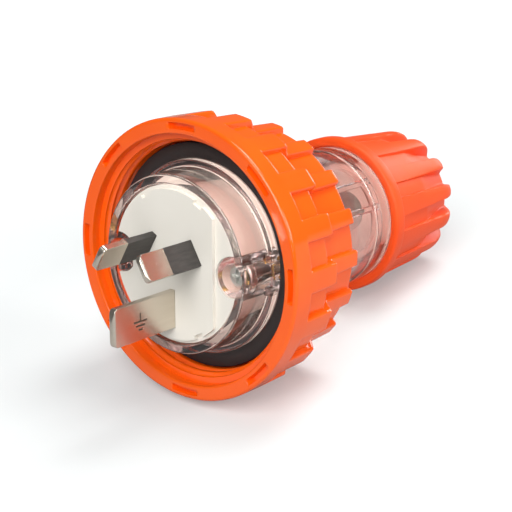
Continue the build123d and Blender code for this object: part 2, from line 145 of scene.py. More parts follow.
# Polycarbonate, moulded clear: bright edges, and the pieces behind show through. Its faint pink tint is
# painted reflection of the orange ring, not the plastic's own colour
clearPc = {"dark": "#F4D6D0", "light": "#FAE5E0", "patchMm": 8.0, "gloss": (0.0, 0.01), "grainMm": 6.0,
           "bump": 0.02, "shader": {"IOR": 1.59, "Transmission Weight": 1.0, "Alpha": 0.9}}
clearMaterial = makeMaterial("clearPolycarbonateMoulded", clearPc)

# PBT, moulded with a fine spark-eroded face: warm off-white, soft sheen
whitePbt = {"dark": "#E4DFD4", "light": "#EBE7DE", "patchMm": 14.0, "gloss": (0.42, 0.5), "grainMm": 0.4,
            "bump": 0.06, "shader": {"IOR": 1.55, "Specular IOR Level": 0.35}}
pbtMaterial = makeMaterial("whitePbtMoulded", whitePbt)

# Brass strip, stamped and nickel plated: warm grey metal with faint rolling lines along the pin
nickel = {"dark": "#D2C8B9", "light": "#DED6C9", "patchMm": 0.9, "stretch": 14.0, "gloss": (0.24, 0.27),
          "grainMm": 0.5, "bump": 0.004, "shader": {"Metallic": 1.0}}
nickelMaterial = makeMaterial("nickelPlatedBrassStamped", nickel)

# Nickel plated brass, coined: the pressed lines of a mark, duller than the pin
coined = {"dark": "#6A6257", "light": "#7C7469", "patchMm": 0.5, "gloss": (0.4, 0.5), "grainMm": 0.3,
          "bump": 0.05, "shader": {"Metallic": 1.0}}
coinedMaterial = makeMaterial("nickelPlatedBrassCoined", coined)

# Nylon sleeve, moulded over the pin: near black with a dry, finely drawn skin
sleeveNylon = {"dark": "#1E1B1A", "light": "#4C4743", "patchMm": 0.6, "stretch": 5.0, "gloss": (0.45, 0.55),
               "grainMm": 0.5, "bump": 0.25, "shader": {"IOR": 1.53}}
sleeveMaterial = makeMaterial("blackNylonOvermoulded", sleeveNylon)

# Nitrile rubber, compression moulded: deep matte black with a dusty grain
nitrile = {"dark": "#1E1A1A", "light": "#2C2625", "patchMm": 0.7, "gloss": (0.62, 0.74), "grainMm": 0.7,
           "bump": 0.25, "shader": {"IOR": 1.52}}
rubberMaterial = makeMaterial("blackNitrileMoulded", nitrile)

# Natural rubber, compression moulded: tan and matte. The tan is the rubber's own; the added pink is painted
# reflection of the orange nut, seen through the clear collar
paleRubber = {"dark": "#D0B8AE", "light": "#DEC9BF", "patchMm": 4.0, "gloss": (0.6, 0.7), "grainMm": 0.7,
              "bump": 0.15, "shader": {"IOR": 1.52}}
paleMaterial = makeMaterial("naturalRubberMoulded", paleRubber)

# Brass, turned and milled: bright yellow metal with fine tool marks
turnedBrass = {"dark": "#B8924A", "light": "#D3AE63", "patchMm": 0.4, "gloss": (0.26, 0.36), "grainMm": 0.3,
               "bump": 0.03, "shader": {"Metallic": 1.0}}
brassMaterial = makeMaterial("brassMachined", turnedBrass)

# Steel screw, cold headed and zinc plated: pale grey metal with a soft, slightly cloudy shine
zincSteel = {"dark": "#D0D0CC", "light": "#ECECE8", "patchMm": 0.8, "gloss": (0.36, 0.46), "grainMm": 0.3,
             "bump": 0.03, "shader": {"Metallic": 1.0}}
zincMaterial = makeMaterial("zincPlatedSteelHeaded", zincSteel)

# Natural nylon, moulded: milky white with a waxy sheen
naturalNylon = {"dark": "#DCD7CB", "light": "#E6E2D7", "patchMm": 5.0, "gloss": (0.36, 0.44), "grainMm": 0.6,
                "bump": 0.05, "shader": {"IOR": 1.53}}
washerMaterial = makeMaterial("naturalNylonMoulded", naturalNylon)
print("materials made:", len(bpy.data.materials))


def addPiece(name, mesh, material, body, slotName, *nodes):
    piece = bpy.data.objects.new(name, mesh)
    bpy.context.scene.collection.objects.link(piece)
    mesh.materials.clear()
    mesh.materials.append(material)
    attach(piece, body)
    if nodes:
        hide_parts(*nodes)
    return piece


def outwardMesh(name, points, faces):  # one closed skin, all faces turned outwards
    mesh = bpy.data.meshes.new(name)
    mesh.from_pydata(points, [], faces)
    skin = bmesh.new()
    skin.from_mesh(mesh)
    bmesh.ops.recalc_face_normals(skin, faces=skin.faces)
    skin.to_mesh(mesh)
    skin.free()
    return mesh


sharpAngle = math.radians(50)


def softShade(mesh):  # rounds shade smoothly, true corners stay sharp
    mesh.shade_smooth()
    mesh.set_sharp_from_angle(angle=sharpAngle)


# Rows of (radius, depth), or functions of the angle that may also shift it, joined in a ring round the axis
def turnedMesh(name, angles, rows):
    points = []
    for row in rows:
        for angle in angles:
            radius, depth, *shifted = row(angle) if callable(row) else row
            turn = math.radians(shifted[0] if shifted else angle)
            points.append(plugPoint(radius * math.cos(turn), radius * math.sin(turn), depth))
    n = len(angles)
    faces = []
    for j in range(len(rows)):
        k = (j + 1) % len(rows)
        for i in range(n):
            h = (i + 1) % n
            faces.append((j * n + i, j * n + h, k * n + h, k * n + i))
    mesh = outwardMesh(name, points, faces)
    softShade(mesh)
    return mesh


def roundCorner(radius, depth, size, start, steps=5):  # quarter round about a corner, start in degrees
    turns = [math.radians(start + 90 * k / steps) for k in range(steps + 1)]
    return [(radius + size * math.cos(turn), depth + size * math.sin(turn)) for turn in turns]


def fromMiddle(angle, pitch):  # degrees from the middle of the nearest repeat
    return (angle + pitch / 2) % pitch - pitch / 2


def spotAngles(middles, offsets, digits=3):  # spots on both sides of each middle, in degrees
    spots = [middle + side * offset for middle in middles for offset in offsets for side in (-1, 1)]
    return {round(spot % 360, digits) for spot in spots}


def threadRidge(turn, flank):  # 0 between two turns of a thread, 1 on its crest
    foot, top = flank
    return smoothStep(foot, top, turn) * smoothStep(1 - foot, 1 - top, turn)


# Locking ring: two tiers of crisp blocks with pockets, and a coarse thread inside
ring = {
    "frontDepth": 3.6, "rearDepth": 32.5, "radius": 33.5, "tierRadius": 33.2, "edgeRound": 0.7,
    "mouthRadius": 30.0, "dish": 0.2, "leadIn": 6.2, "rearRound": 0.6,
    "bandEnd": 9.4, "tierSplit": 18.9, "pocketRadius": 32.0, "pocketEnd": 17.0,
    "stepLength": 2.4, "stepRounds": (0.6, 0.35), "rearBlock": (29.8, 29.3), "rearGap": (28.1, 27.8),
    "blocks": 18, "frontHalfAngle": 4.7, "rearHalfAngle": (4.5, 3.7), "narrowing": 0.15,
    "wallFoot": 0.12, "blockRound": 0.5, "curlShare": 0.45, "pocketCorner": 0.25,
    "boreRadius": 28.4, "threadHeight": 0.9, "threadPitch": 3.0, "threadStart": 7.2, "threadEnd": 16.6,
    "threadFlank": (0.1, 0.32), "threadFade": (0.4, 0.6), "threadRows": 38, "threadMargin": (0.2, 0.15),
    "lipFront": 17.7, "lipRear": 20.3, "lipRadius": 23.3, "lipSoft": 0.3,
    "skirtRadius": 25.6, "skirtSoft": 0.4, "skirtMiddle": 26.0,
    "slots": 8, "slotRadius": 31.7, "slotWidth": 1.25, "slotHalfAngle": 7.0, "slotDepth": 1.5,
    "slotCorner": 0.2, "slotWall": 0.12,
}
arcMm = math.radians(1) * ring["pocketRadius"]  # arc length of one degree at the blocks
blockPitch = 360 / ring["blocks"]
slotPitch = 360 / ring["slots"]


def roundedBox(x, y, halfX, halfY, corner):  # distance from a box with round corners, less than 0 inside it
    dx = abs(x) - halfX + corner
    dy = abs(y) - halfY + corner
    return math.hypot(max(dx, 0), max(dy, 0)) + min(max(dx, dy), 0) - corner


def softMin(a, b, size):
    h = max(size - abs(a - b), 0) / size
    return min(a, b) - h * h * size / 4


# One tier falls to the next over a slope with rounded edges
def steppedRadius(depth, high, low, edgeDepth):
    slope = mix(high, low, (depth - edgeDepth) / ring["stepLength"])
    crestRound, footRound = ring["stepRounds"]
    return -softMin(-softMin(high, slope, crestRound), -low, footRound)


# A block's wall rises from its foot and curls over into the top; the spots follow the wall as it narrows
def ringSpot(angle, depth):
    share = fromMiddle(angle, blockPitch)
    along = clamp((depth - ring["bandEnd"]) / (ring["tierSplit"] - ring["bandEnd"]))
    back = clamp((depth - ring["tierSplit"]) / (ring["rearDepth"] - ring["tierSplit"]))
    front = ring["frontHalfAngle"]
    half = mix(front, mix(*ring["rearHalfAngle"], back), smoothStep(0, ring["narrowing"], back))
    turn = abs(share)
    if turn < front:
        turn = turn * half / front
    else:
        turn = mix(half, blockPitch / 2, (turn - front) / (blockPitch / 2 - front))
    crest = mix(ring["radius"], ring["tierRadius"], along)
    block = steppedRadius(depth, crest, mix(*ring["rearBlock"], back), ring["tierSplit"])
    floor = steppedRadius(depth, ring["pocketRadius"], mix(*ring["rearGap"], back), ring["pocketEnd"])
    inward = -softMin(depth - ring["bandEnd"], (turn - half) * arcMm, ring["pocketCorner"])
    wall = smoothStep(-ring["wallFoot"], 0, inward)
    curl = math.sqrt(1 - (1 - clamp(inward / ring["blockRound"])) ** 2)
    radius = mix(floor, block, mix(wall, curl, ring["curlShare"]))
    over = max(0, depth - ring["rearDepth"] + ring["rearRound"]) / ring["rearRound"]
    radius -= ring["rearRound"] * (1 - math.sqrt(max(0, 1 - over * over)))
    return radius, depth, angle - share + math.copysign(turn, share)


def threadRadius(angle, depth):
    turn = ((depth - ring["threadStart"]) / ring["threadPitch"] - angle / 360) % 1
    outside, inside = ring["threadFade"]
    fade = smoothStep(ring["threadStart"] - outside, ring["threadStart"] + inside, depth)
    fade *= smoothStep(ring["threadEnd"] + outside, ring["threadEnd"] - inside, depth)
    return ring["boreRadius"] - ring["threadHeight"] * threadRidge(turn, ring["threadFlank"]) * fade


def faceDepth(radius):  # the front face is dished a little towards the mouth
    outer = ring["radius"] - ring["edgeRound"]
    return ring["frontDepth"] + ring["dish"] * clamp((outer - radius) / (outer - ring["mouthRadius"]))


def slotFloor(angle, radius):
    x = fromMiddle(angle, slotPitch) * arcMm
    y = radius - ring["slotRadius"]
    inside = roundedBox(x, y, ring["slotHalfAngle"] * arcMm, ring["slotWidth"] / 2, ring["slotCorner"])
    return faceDepth(radius) + ring["slotDepth"] * smoothStep(ring["slotWall"], -ring["slotWall"], inside)


# The ring's skin: spots round it in degrees and rows in millimetres, close together at each wall and edge
ringSpots = {
    "wall": (-0.75, -0.6, -0.45, -0.33, -0.22, -0.12, -0.05, 0, 0.07, 0.14, 0.215, 0.3),
    "blockTop": (0, 1.6, 3.0), "pocketFloor": (6.0, 7.6, 9.97), "slotEnd": (-0.35, -0.12, 0.12, 0.35),
    "slotSide": (0.16, 0.05, -0.05, -0.16), "mouthEdge": ((-0.1, 0.2), (-0.03, 0.05), (0.12, 0)),
    "mouthTaper": 0.15, "face": 30.6, "beside": 0.06, "band": (6.0, 8.6), "pocket": (10.4, 12.5, 15.0, 16.3),
    "step": (-0.27, -0.18, -0.09, 0, 0.09, 0.18, 0.27, 0.8, 1.4),
    "rear": (21.0, 21.2, 21.4, 21.7, 22.4, 25, 28, 30.4, 31.7), "rearEdge": (0.6, 0.42, 0.26, 0.13, 0.05, 0),
}
blockOffsets = [*ringSpots["blockTop"], *ringSpots["pocketFloor"]]
blockOffsets += [ring["frontHalfAngle"] + offset for offset in ringSpots["wall"]]
slotOffsets = [ring["slotHalfAngle"] + offset for offset in ringSpots["slotEnd"]]
ringAngles = spotAngles([k * blockPitch for k in range(ring["blocks"])], blockOffsets)
ringAngles |= spotAngles([k * slotPitch for k in range(ring["slots"])], slotOffsets)

edge = ring["edgeRound"]
beside = ringSpots["beside"]
mouth = ring["mouthRadius"]
rows = [(mouth - ringSpots["mouthTaper"], ring["leadIn"])]
rows += [(mouth + wider, faceDepth(mouth) + deeper) for wider, deeper in ringSpots["mouthEdge"]]
rows += [(ringSpots["face"], faceDepth(ringSpots["face"]))]
slotRows = [ring["slotRadius"] + side * (ring["slotWidth"] / 2 + offset)
            for side in (-1, 1) for offset in ringSpots["slotSide"]]
for radius in sorted(slotRows):
    rows.append(lambda angle, radius=radius: (radius, slotFloor(angle, radius)))
rows += [(ring["radius"] - edge - beside, ring["frontDepth"])]
rows += roundCorner(ring["radius"] - edge, ring["frontDepth"] + edge, edge, -90)
rows += [(ring["radius"], ring["frontDepth"] + edge + beside)]
outerDepths = [*ringSpots["band"], *ringSpots["pocket"], *ringSpots["rear"]]
outerDepths += [ring["bandEnd"] + offset * arcMm for offset in ringSpots["wall"]]
outerDepths += [ring[start] + offset for start in ("pocketEnd", "tierSplit") for offset in ringSpots["step"]]
outerDepths += [ring["rearDepth"] - gap for gap in ringSpots["rearEdge"]]
for depth in sorted(outerDepths):
    rows.append(lambda angle, depth=depth: ringSpot(angle, depth))
skirt = ring["skirtRadius"]
rows += [(skirt + ring["skirtSoft"], ring["rearDepth"]), (skirt, ring["rearDepth"] - ring["skirtSoft"])]
rows += [(skirt, ring["skirtMiddle"]), (skirt, ring["lipRear"])]
lip = ring["lipRadius"]
soft = ring["lipSoft"]
rows += [(lip + soft, ring["lipRear"]), (lip, ring["lipRear"] - soft)]
rows += [(lip, ring["lipFront"] + soft), (lip + soft, ring["lipFront"])]
rows += [(ring["boreRadius"], ring["lipFront"])]
rearMargin, frontMargin = ring["threadMargin"]
for k in range(ring["threadRows"]):
    depth = mix(ring["lipFront"] - rearMargin, ring["leadIn"] + frontMargin, k / (ring["threadRows"] - 1))
    rows.append(lambda angle, depth=depth: (threadRadius(angle, depth), depth))
ringMesh = turnedMesh("lockingRing", sorted(ringAngles), rows)
addPiece("lockingRing", ringMesh, absMaterial, "ring", "ring_orange", "locking_ring")
print("locking ring:", len(ringMesh.polygons), "faces")

# Gland nut: flange, tapered grip with flat channels between ribs that end as rounded fingers
nut = {
    "frontDepth": 62.0, "flangeRadius": 20.5, "flangeLength": 3.6, "flangeRound": 0.7, "flangeBack": 0.5,
    "gripRadius": 19.7, "gripFoot": (0.06, 0.15), "endRadius": 18.4, "gripRows": 48, "rowPower": 1.3,
    "endStart": 90.0, "roundStart": 87.5, "rearDepth": 96.0, "endDrop": 3.0, "endPower": 2.8, "endRow": 12.0,
    "channels": 14, "channelHalf": 1.95, "channelFloor": ((65.6, 19.2), (80.0, 18.0), (96.0, 13.3)),
    "wallSoft": (0.1, 0.6), "wallFoot": 0.6, "ribSag": 0.5, "ribSagWidth": 1.9,
    "recessRadius": 18.3, "recessDepth": 64.3, "recessSoft": 0.3, "boreRadius": 16.3, "shoulderDepth": 81.2,
    "cone": (13.3, 10.5), "holeDepth": 91.5, "holeRadius": 9.5, "holeSoft": 0.5,
}
gripStart = nut["frontDepth"] + nut["flangeLength"]
channelPitch = 360 / nut["channels"]


def crestRadius(depth):
    radius = mix(nut["gripRadius"], nut["endRadius"], (depth - gripStart) / (nut["endStart"] - gripStart))
    late = max(0, (depth - nut["roundStart"]) / (nut["rearDepth"] - nut["roundStart"]))
    return radius - nut["endDrop"] * late ** nut["endPower"]


def floorRadius(depth):
    (d0, r0), (d1, r1), (d2, r2) = nut["channelFloor"]
    return mix(r0, r1, (depth - d0) / (d1 - d0)) if depth < d1 else mix(r1, r2, (depth - d1) / (d2 - d1))


# The mark runs from the channel's middle: 0 to 1 across half the channel, 1 to 2 on to the rib's middle
def nutSpot(angle, depth):
    repeat = round(angle / channelPitch)
    share = 2 * (angle - repeat * channelPitch) / channelPitch
    mark = 2 * abs(share)
    crest = crestRadius(depth)
    late = max(0, (depth - gripStart) / (nut["rearDepth"] - gripStart))
    wallTurn = math.degrees(math.asin(nut["channelHalf"] / crest))
    turn = mark * wallTurn if mark < 1 else mix(wallTurn, channelPitch / 2, mark - 1)
    across = math.radians(turn) * crest - nut["channelHalf"]
    soft = mix(*nut["wallSoft"], late ** 2)
    rise = smoothStep(-nut["wallFoot"] * soft, soft, across)
    sag = nut["ribSag"] * late ** 2 * (1 - min(1, across / nut["ribSagWidth"])) ** 2 if across > 0 else 0
    radius = mix(floorRadius(depth), crest - sag, rise)
    return radius, depth, repeat * channelPitch + math.copysign(turn, share)


nutMarks = (0, 0.5, 0.8, 0.9, 0.95, 0.98, 1.0, 1.02, 1.05, 1.1, 1.17, 1.26, 1.4, 1.6, 1.8, 1.98)
channelMiddles = [k * channelPitch for k in range(nut["channels"])]
nutAngles = spotAngles(channelMiddles, [mark * channelPitch / 4 for mark in nutMarks], 4)
soft = nut["recessSoft"]
rows = [(nut["recessRadius"], nut["frontDepth"] + soft), (nut["recessRadius"] + soft, nut["frontDepth"])]
edge = nut["flangeRound"]
rows += roundCorner(nut["flangeRadius"] - edge, nut["frontDepth"] + edge, edge, -90)
edge = nut["flangeBack"]
rows += roundCorner(nut["flangeRadius"] - edge, gripStart - edge, edge, 0, 3)[:-1]
footRise, footLength = nut["gripFoot"]
rows += [(nut["gripRadius"] + footRise, gripStart)]
for k in range(nut["gripRows"]):
    back = 1 - (1 - k / (nut["gripRows"] - 1)) ** nut["rowPower"]
    depth = mix(gripStart + footLength, nut["rearDepth"], back)
    rows.append(lambda angle, depth=depth: nutSpot(angle, depth))
soft = nut["holeSoft"]
rows += [(nut["endRow"], nut["rearDepth"]), (nut["holeRadius"] + soft, nut["rearDepth"])]
rows += [(nut["holeRadius"], nut["rearDepth"] - soft), (nut["holeRadius"], nut["holeDepth"])]
coneFoot, coneTop = nut["cone"]
rows += [(coneTop, nut["holeDepth"]), (coneFoot, nut["shoulderDepth"])]
rows += [(nut["boreRadius"], nut["shoulderDepth"]), (nut["boreRadius"], nut["recessDepth"])]
rows += [(nut["recessRadius"], nut["recessDepth"])]
nutMesh = turnedMesh("glandNut", sorted(nutAngles), rows)
addPiece("glandNut", nutMesh, nylonMaterial, "nut", "nut_orange", "gland_nut")
print("gland nut:", len(nutMesh.polygons), "faces")

# Clear body: flange, barrel, waisted neck with inside ribs, collar and threaded end
body = {
    "sides": 160, "front": 14.0, "flangeRadius": 27.0, "flangeRear": 17.4, "flangeSoft": 0.3,
    "barrelRadius": 23.0, "barrelRows": (24.0, 30.0), "boreRadius": 19.0, "boreSoft": 0.2,
    "shoulder": (32.0, 44.0), "waistRows": range(31, 46), "boreLead": 1.0, "neckRadius": 17.6,
    "neckMiddle": 50.0, "neckBore": 14.6, "collarRadius": 18.0, "collar": (57.0, 63.4), "collarSoft": 0.2,
    "threadRadius": 16.0, "threadPitch": 3.0, "threadHeight": 0.7, "threadFlank": (0.1, 0.35),
    "threadSpan": (65.0, 76.6), "threadRows": 48, "endTaper": 0.8, "neckEnd": 77.0,
    "grommetSeat": 66.0, "lipRadius": 11.5, "lipFront": 61.0, "mouth": 13.05,
    "ribAngles": (18, 43, 198, 223), "ribHalfWidth": 0.6, "ribHeight": 1.2, "ribSoft": 0.15,
    "ribStart": (43.0, 43.6), "ribSpots": (0.3, 0.45, 0.6, 0.75, 0.9),
    "boreRows": (60.6, 55, 50, 46, 44, 43.6, 43.3, 43.0, *range(42, 30, -1), 29.5, 25, 20, 14.2),
}


def waist(depth, wide, narrow):
    return mix(wide, narrow, smoothStep(*body["shoulder"], depth))


def neckBore(angle, depth):
    radius = waist(depth + body["boreLead"], body["boreRadius"], body["neckBore"])
    outside = body["ribHalfWidth"] + body["ribSoft"]
    inside = body["ribHalfWidth"] - body["ribSoft"]
    rib = 0
    for middle in body["ribAngles"]:
        x = abs(fromMiddle(angle - middle, 360)) * math.radians(1) * body["neckBore"]
        rib = max(rib, smoothStep(outside, inside, x))
    return radius - body["ribHeight"] * rib * smoothStep(*body["ribStart"], depth)


def neckThread(angle, depth):
    turn = (depth / body["threadPitch"] - angle / 360) % 1
    return body["threadRadius"] - body["threadHeight"] * threadRidge(turn, body["threadFlank"])


bodyAngles = {round(360 * k / body["sides"], 3) for k in range(body["sides"])}
bodyAngles |= spotAngles(body["ribAngles"], [math.degrees(x / body["neckBore"]) for x in body["ribSpots"]])
soft = body["flangeSoft"]
flange = body["flangeRadius"]
barrel = body["barrelRadius"]
rows = [(body["boreRadius"] + body["boreSoft"], body["front"]), (flange - soft, body["front"])]
rows += [(flange, body["front"] + soft), (flange, body["flangeRear"] - soft)]
rows += [(flange - soft, body["flangeRear"]), (barrel, body["flangeRear"])]
rows += [(barrel, depth) for depth in body["barrelRows"]]
rows += [(waist(depth, barrel, body["neckRadius"]), depth) for depth in body["waistRows"]]
soft = body["collarSoft"]
collar = body["collarRadius"]
collarFront, collarRear = body["collar"]
rows += [(body["neckRadius"], body["neckMiddle"]), (body["neckRadius"], collarFront - soft)]
rows += [(collar - soft / 2, collarFront), (collar, collarFront + soft)]
rows += [(collar, collarRear - soft), (collar - soft, collarRear)]
rows += [(body["threadRadius"], collarRear)]
for k in range(body["threadRows"]):
    depth = mix(*body["threadSpan"], k / (body["threadRows"] - 1))
    rows.append(lambda angle, depth=depth: (neckThread(angle, depth), depth))
rows += [(body["threadRadius"] - body["endTaper"], body["neckEnd"]), (body["mouth"], body["neckEnd"])]
rows += [(body["mouth"], body["grommetSeat"]), (body["lipRadius"], body["grommetSeat"])]
rows += [(body["lipRadius"], body["lipFront"]), (body["neckBore"] - body["boreSoft"], body["lipFront"])]
for depth in body["boreRows"]:
    rows.append(lambda angle, depth=depth: (neckBore(angle, depth), depth))
bodyMesh = turnedMesh("bodyShell", sorted(bodyAngles), rows)
bodyPiece = addPiece("bodyShell", bodyMesh, clearMaterial, "housing", "clear_plastic", "body_shell")
print("clear body:", len(bodyMesh.polygons), "faces")


# A round post along the plug's axis, with a softened front edge, for joining and cutting
def postMesh(name, right, front, rear, radius, soft=0.0, sides=48):
    outline = [(radius, front + soft), (radius, rear)]
    if soft:
        outline.insert(0, (radius - soft, front))
    points = []
    for r, depth in outline:
        for k in range(sides):
            turn = 2 * math.pi * k / sides
            points.append(plugPoint(right + r * math.cos(turn), r * math.sin(turn), depth))
    faces = [tuple(range(sides)), tuple(range(len(points) - sides, len(points)))]
    for j in range(len(outline) - 1):
        for k in range(sides):
            h = (k + 1) % sides
            faces.append((j * sides + k, j * sides + h, (j + 1) * sides + h, (j + 1) * sides + k))
    return outwardMesh(name, points, faces)


def boxMesh(name, right, up, front, rear, width, height):
    corners = [plugPoint(right + sx * width / 2, up + sy * height / 2, depth)
               for depth in (front, rear) for sx, sy in ((-1, -1), (1, -1), (1, 1), (-1, 1))]
    faces = [(0, 1, 2, 3), (7, 6, 5, 4), (0, 4, 5, 1), (1, 5, 6, 2), (2, 6, 7, 3), (3, 7, 4, 0)]
    return outwardMesh(name, corners, faces)


# Joins and cuts a piece with other meshes, then keeps the result as plain mesh
def carve(piece, steps):
    for operation, mesh in steps:
        tool = bpy.data.objects.new("tool", mesh)
        bpy.context.scene.collection.objects.link(tool)
        cut = piece.modifiers.new("cut", "BOOLEAN")
        cut.operation = operation
        cut.solver = "EXACT"
        cut.object = tool
        bpy.context.view_layer.update()
        shaped = piece.evaluated_get(bpy.context.evaluated_depsgraph_get())
        done = bpy.data.meshes.new_from_object(shaped)
        piece.modifiers.remove(cut)
        piece.data = done
        bpy.data.objects.remove(tool)


# Clear nose: drafted wall with a rounded rim on a wider foot, a screw boss on each side
nose = {
    "sides": 192, "front": 0.3, "radius": 21.2, "draft": 0.4, "rimRound": 0.5,
    "footRadius": 23.2, "footFront": 8.6, "footRound": 0.5, "footJoin": ((-0.05, -0.3), (0.25, 0)),
    "rear": 14.0, "seatRadius": 20.25, "seatDepth": 12.0,
    "bore": 18.9, "boreEdge": ((0, 0.4), (0.12, 0.12), (0.4, 0)),
    "bossOffset": 17.5, "bossRadius": 4.9, "bossFront": 1.2, "bossSoft": 0.4,
    "headBore": 3.3, "headSeat": 4.7, "screwHole": 1.7, "cutOver": 1.0, "holeOver": 0.5,
    "tabRise": 3.7, "tabSize": 2.0, "tabFront": 7.4, "tabSunk": 0.8,
}
noseAngles = [360 * k / nose["sides"] for k in range(nose["sides"])]
edge = nose["rimRound"]
rows = roundCorner(nose["radius"] - edge, nose["front"] + edge, edge, -90)
wallEnd = nose["radius"] + nose["draft"]
rows += [(wallEnd + wider, nose["footFront"] + deeper) for wider, deeper in nose["footJoin"]]
edge = nose["footRound"]
rows += roundCorner(nose["footRadius"] - edge, nose["footFront"] + edge, edge, -90)
rows += [(nose["footRadius"], nose["rear"]), (nose["seatRadius"], nose["rear"])]
rows += [(nose["seatRadius"], nose["seatDepth"]), (nose["bore"], nose["seatDepth"])]
rows += [(nose["bore"] + wider, nose["front"] + deeper) for wider, deeper in nose["boreEdge"]]
noseMesh = turnedMesh("noseShroud", noseAngles, rows)
nosePiece = addPiece("noseShroud", noseMesh, clearMaterial, "housing", "clear_plastic", "nose_shroud")
steps = []
size = nose["tabSize"]
for side in (-1, 1):
    x = side * nose["bossOffset"]
    boss = postMesh("boss", x, nose["bossFront"], nose["rear"], nose["bossRadius"], nose["bossSoft"])
    steps.append(("UNION", boss))
    tabX = side * (nose["footRadius"] - size / 2)
    for rise in (-nose["tabRise"], nose["tabRise"]):
        tab = boxMesh("tab", tabX, rise, nose["tabFront"], nose["footFront"] + nose["tabSunk"], size, size)
        steps.append(("UNION", tab))
    head = postMesh("headBore", x, nose["bossFront"] - nose["cutOver"], nose["headSeat"], nose["headBore"])
    steps.append(("DIFFERENCE", head))
    holeFront = nose["headSeat"] - nose["holeOver"]
    hole = postMesh("screwHole", x, holeFront, nose["rear"] + nose["cutOver"], nose["screwHole"])
    steps.append(("DIFFERENCE", hole))
carve(nosePiece, steps)
softShade(nosePiece.data)
for piece in (bodyPiece, nosePiece):
    piece.visible_shadow = False  # clear plastic lets the light through to the pieces inside
    walls = piece.modifiers.new("trueWalls", "WEIGHTED_NORMAL")  # keeps long walls from acting as lenses
    walls.keep_sharp = True
print("clear nose:", len(nosePiece.data.polygons), "faces")

# Face gasket: flat rubber ring with softened edges
gasket = {"inner": 23.25, "middle": 25.0, "outer": 27.0, "front": 10.4, "rear": 14.0, "soft": 0.3}
soft = gasket["soft"]
rows = [(gasket["inner"], gasket["front"] + soft), (gasket["inner"] + soft, gasket["front"])]
rows += [(gasket["middle"], gasket["front"]), (gasket["outer"] - soft, gasket["front"])]
rows += [(gasket["outer"], gasket["front"] + soft), (gasket["outer"], gasket["rear"])]
rows += [(gasket["inner"], gasket["rear"])]
gasketMesh = turnedMesh("faceGasket", noseAngles, rows)
addPiece("faceGasket", gasketMesh, rubberMaterial, "housing", "black_rubber", "face_gasket")
print("face gasket:", len(gasketMesh.polygons), "faces")

# Pins: stamped blades with softened edges and an arched tip, thinner where a sleeve is moulded on
pin = {
    "thickness": 1.63, "edge": 0.14, "edgeShare": 0.4, "beside": 0.05, "sleeveWall": 0.35, "stemDepth": 14.0,
    "archLength": 1.5, "archPower": 2.5, "noseLength": 0.7, "nosePower": 2,
    "tipRows": (0.02, 0.06, 0.12, 0.2, 0.3, 0.42, 0.56, 0.7, 0.9, 1.15, 1.5, 1.7),
}
pins = {
    "active": {"middle": (6.859, 3.96), "facing": 30, "width": 6.35, "reach": 17.06, "foot": 9.2},
    "neutral": {"middle": (-6.859, 3.96), "facing": 150, "width": 6.35, "reach": 17.06, "foot": 9.2},
    "earth": {"middle": (0, -10.31), "facing": 0, "width": 9.08, "reach": 19.94, "foot": 0},
}


def tipShare(behind, length, power):  # how much of the full size the tip has, that far behind its end
    return (1 - max(0, 1 - behind / length) ** power) ** (1 / power)


# One loop round a blade: its corners are rounded, with a spot on the flat beside each round
def bladeLoop(blade, thick, wide, depth):
    facing = math.radians(blade["facing"])
    size = min(pin["edge"], pin["edgeShare"] * thick)
    spots = ((0, -pin["beside"]), (0, 0), (30, 0), (60, 0), (90, 0), (90, pin["beside"]))
    loop = []
    for k, (sx, sy) in enumerate(((1, 1), (-1, 1), (-1, -1), (1, -1))):
        for step, slide in spots:
            turn = math.radians(90 * k + step)
            x = sx * (thick / 2 - size) + size * math.cos(turn) - slide * math.sin(turn)
            y = sy * (wide / 2 - size) + size * math.sin(turn) + slide * math.cos(turn)
            right = blade["middle"][0] + x * math.cos(facing) - y * math.sin(facing)
            up = blade["middle"][1] + x * math.sin(facing) + y * math.cos(facing)
            loop.append(plugPoint(right, up, depth))
    return loop


for name, blade in pins.items():
    loops = []
    for behind in pin["tipRows"]:
        thick = pin["thickness"] * tipShare(behind, pin["noseLength"], pin["nosePower"])
        wide = blade["width"] * tipShare(behind, pin["archLength"], pin["archPower"])
        loops.append(bladeLoop(blade, thick, wide, behind - blade["reach"]))
    loops.append(bladeLoop(blade, pin["thickness"], blade["width"], -blade["foot"]))
    inset = 2 * pin["sleeveWall"] if blade["foot"] else 0
    for depth in (-blade["foot"], pin["stemDepth"]):
        loops.append(bladeLoop(blade, pin["thickness"] - inset, blade["width"] - inset, depth))
    n = len(loops[0])
    points = [point for loop in loops for point in loop]
    faces = [tuple(range(n)), tuple(range(len(points) - n, len(points)))]
    for j in range(len(loops) - 1):
        for i in range(n):
            h = (i + 1) % n
            faces.append((j * n + i, j * n + h, (j + 1) * n + h, (j + 1) * n + i))
    bladeMesh = outwardMesh(name + "Pin", points, faces)
    softShade(bladeMesh)
    addPiece(name + "Pin", bladeMesh, nickelMaterial, "housing", "nickel_plated_brass", name + "_pin")
print("pins:", len(pins))

# Earth mark: a stem and three bars, coined in the earth pin's right side
earthMark = {"proud": 0.02, "sunk": 0.02, "middle": (-10.4, -11.4), "line": 0.45, "stem": 2.0, "gap": 0.95,
             "bars": (4.2, 2.8, 1.3)}
markUp, markDepth = earthMark["middle"]
line = earthMark["line"]
markWide = earthMark["proud"] + earthMark["sunk"]
markX = pin["thickness"] / 2 + (earthMark["proud"] - earthMark["sunk"]) / 2
stem = earthMark["stem"]
stemUp = markUp + stem / 2
strokes = [boxMesh("stem", markX, stemUp, markDepth - line / 2, markDepth + line / 2, markWide, stem)]
for k, bar in enumerate(earthMark["bars"]):
    barUp = markUp - k * earthMark["gap"]
    strokes.append(boxMesh("bar", markX, barUp, markDepth - bar / 2, markDepth + bar / 2, markWide, line))
for stroke in strokes:
    addPiece("earthMark", stroke, coinedMaterial, "housing", "nickel_plated_brass")
print("earth mark:", len(strokes), "strokes")

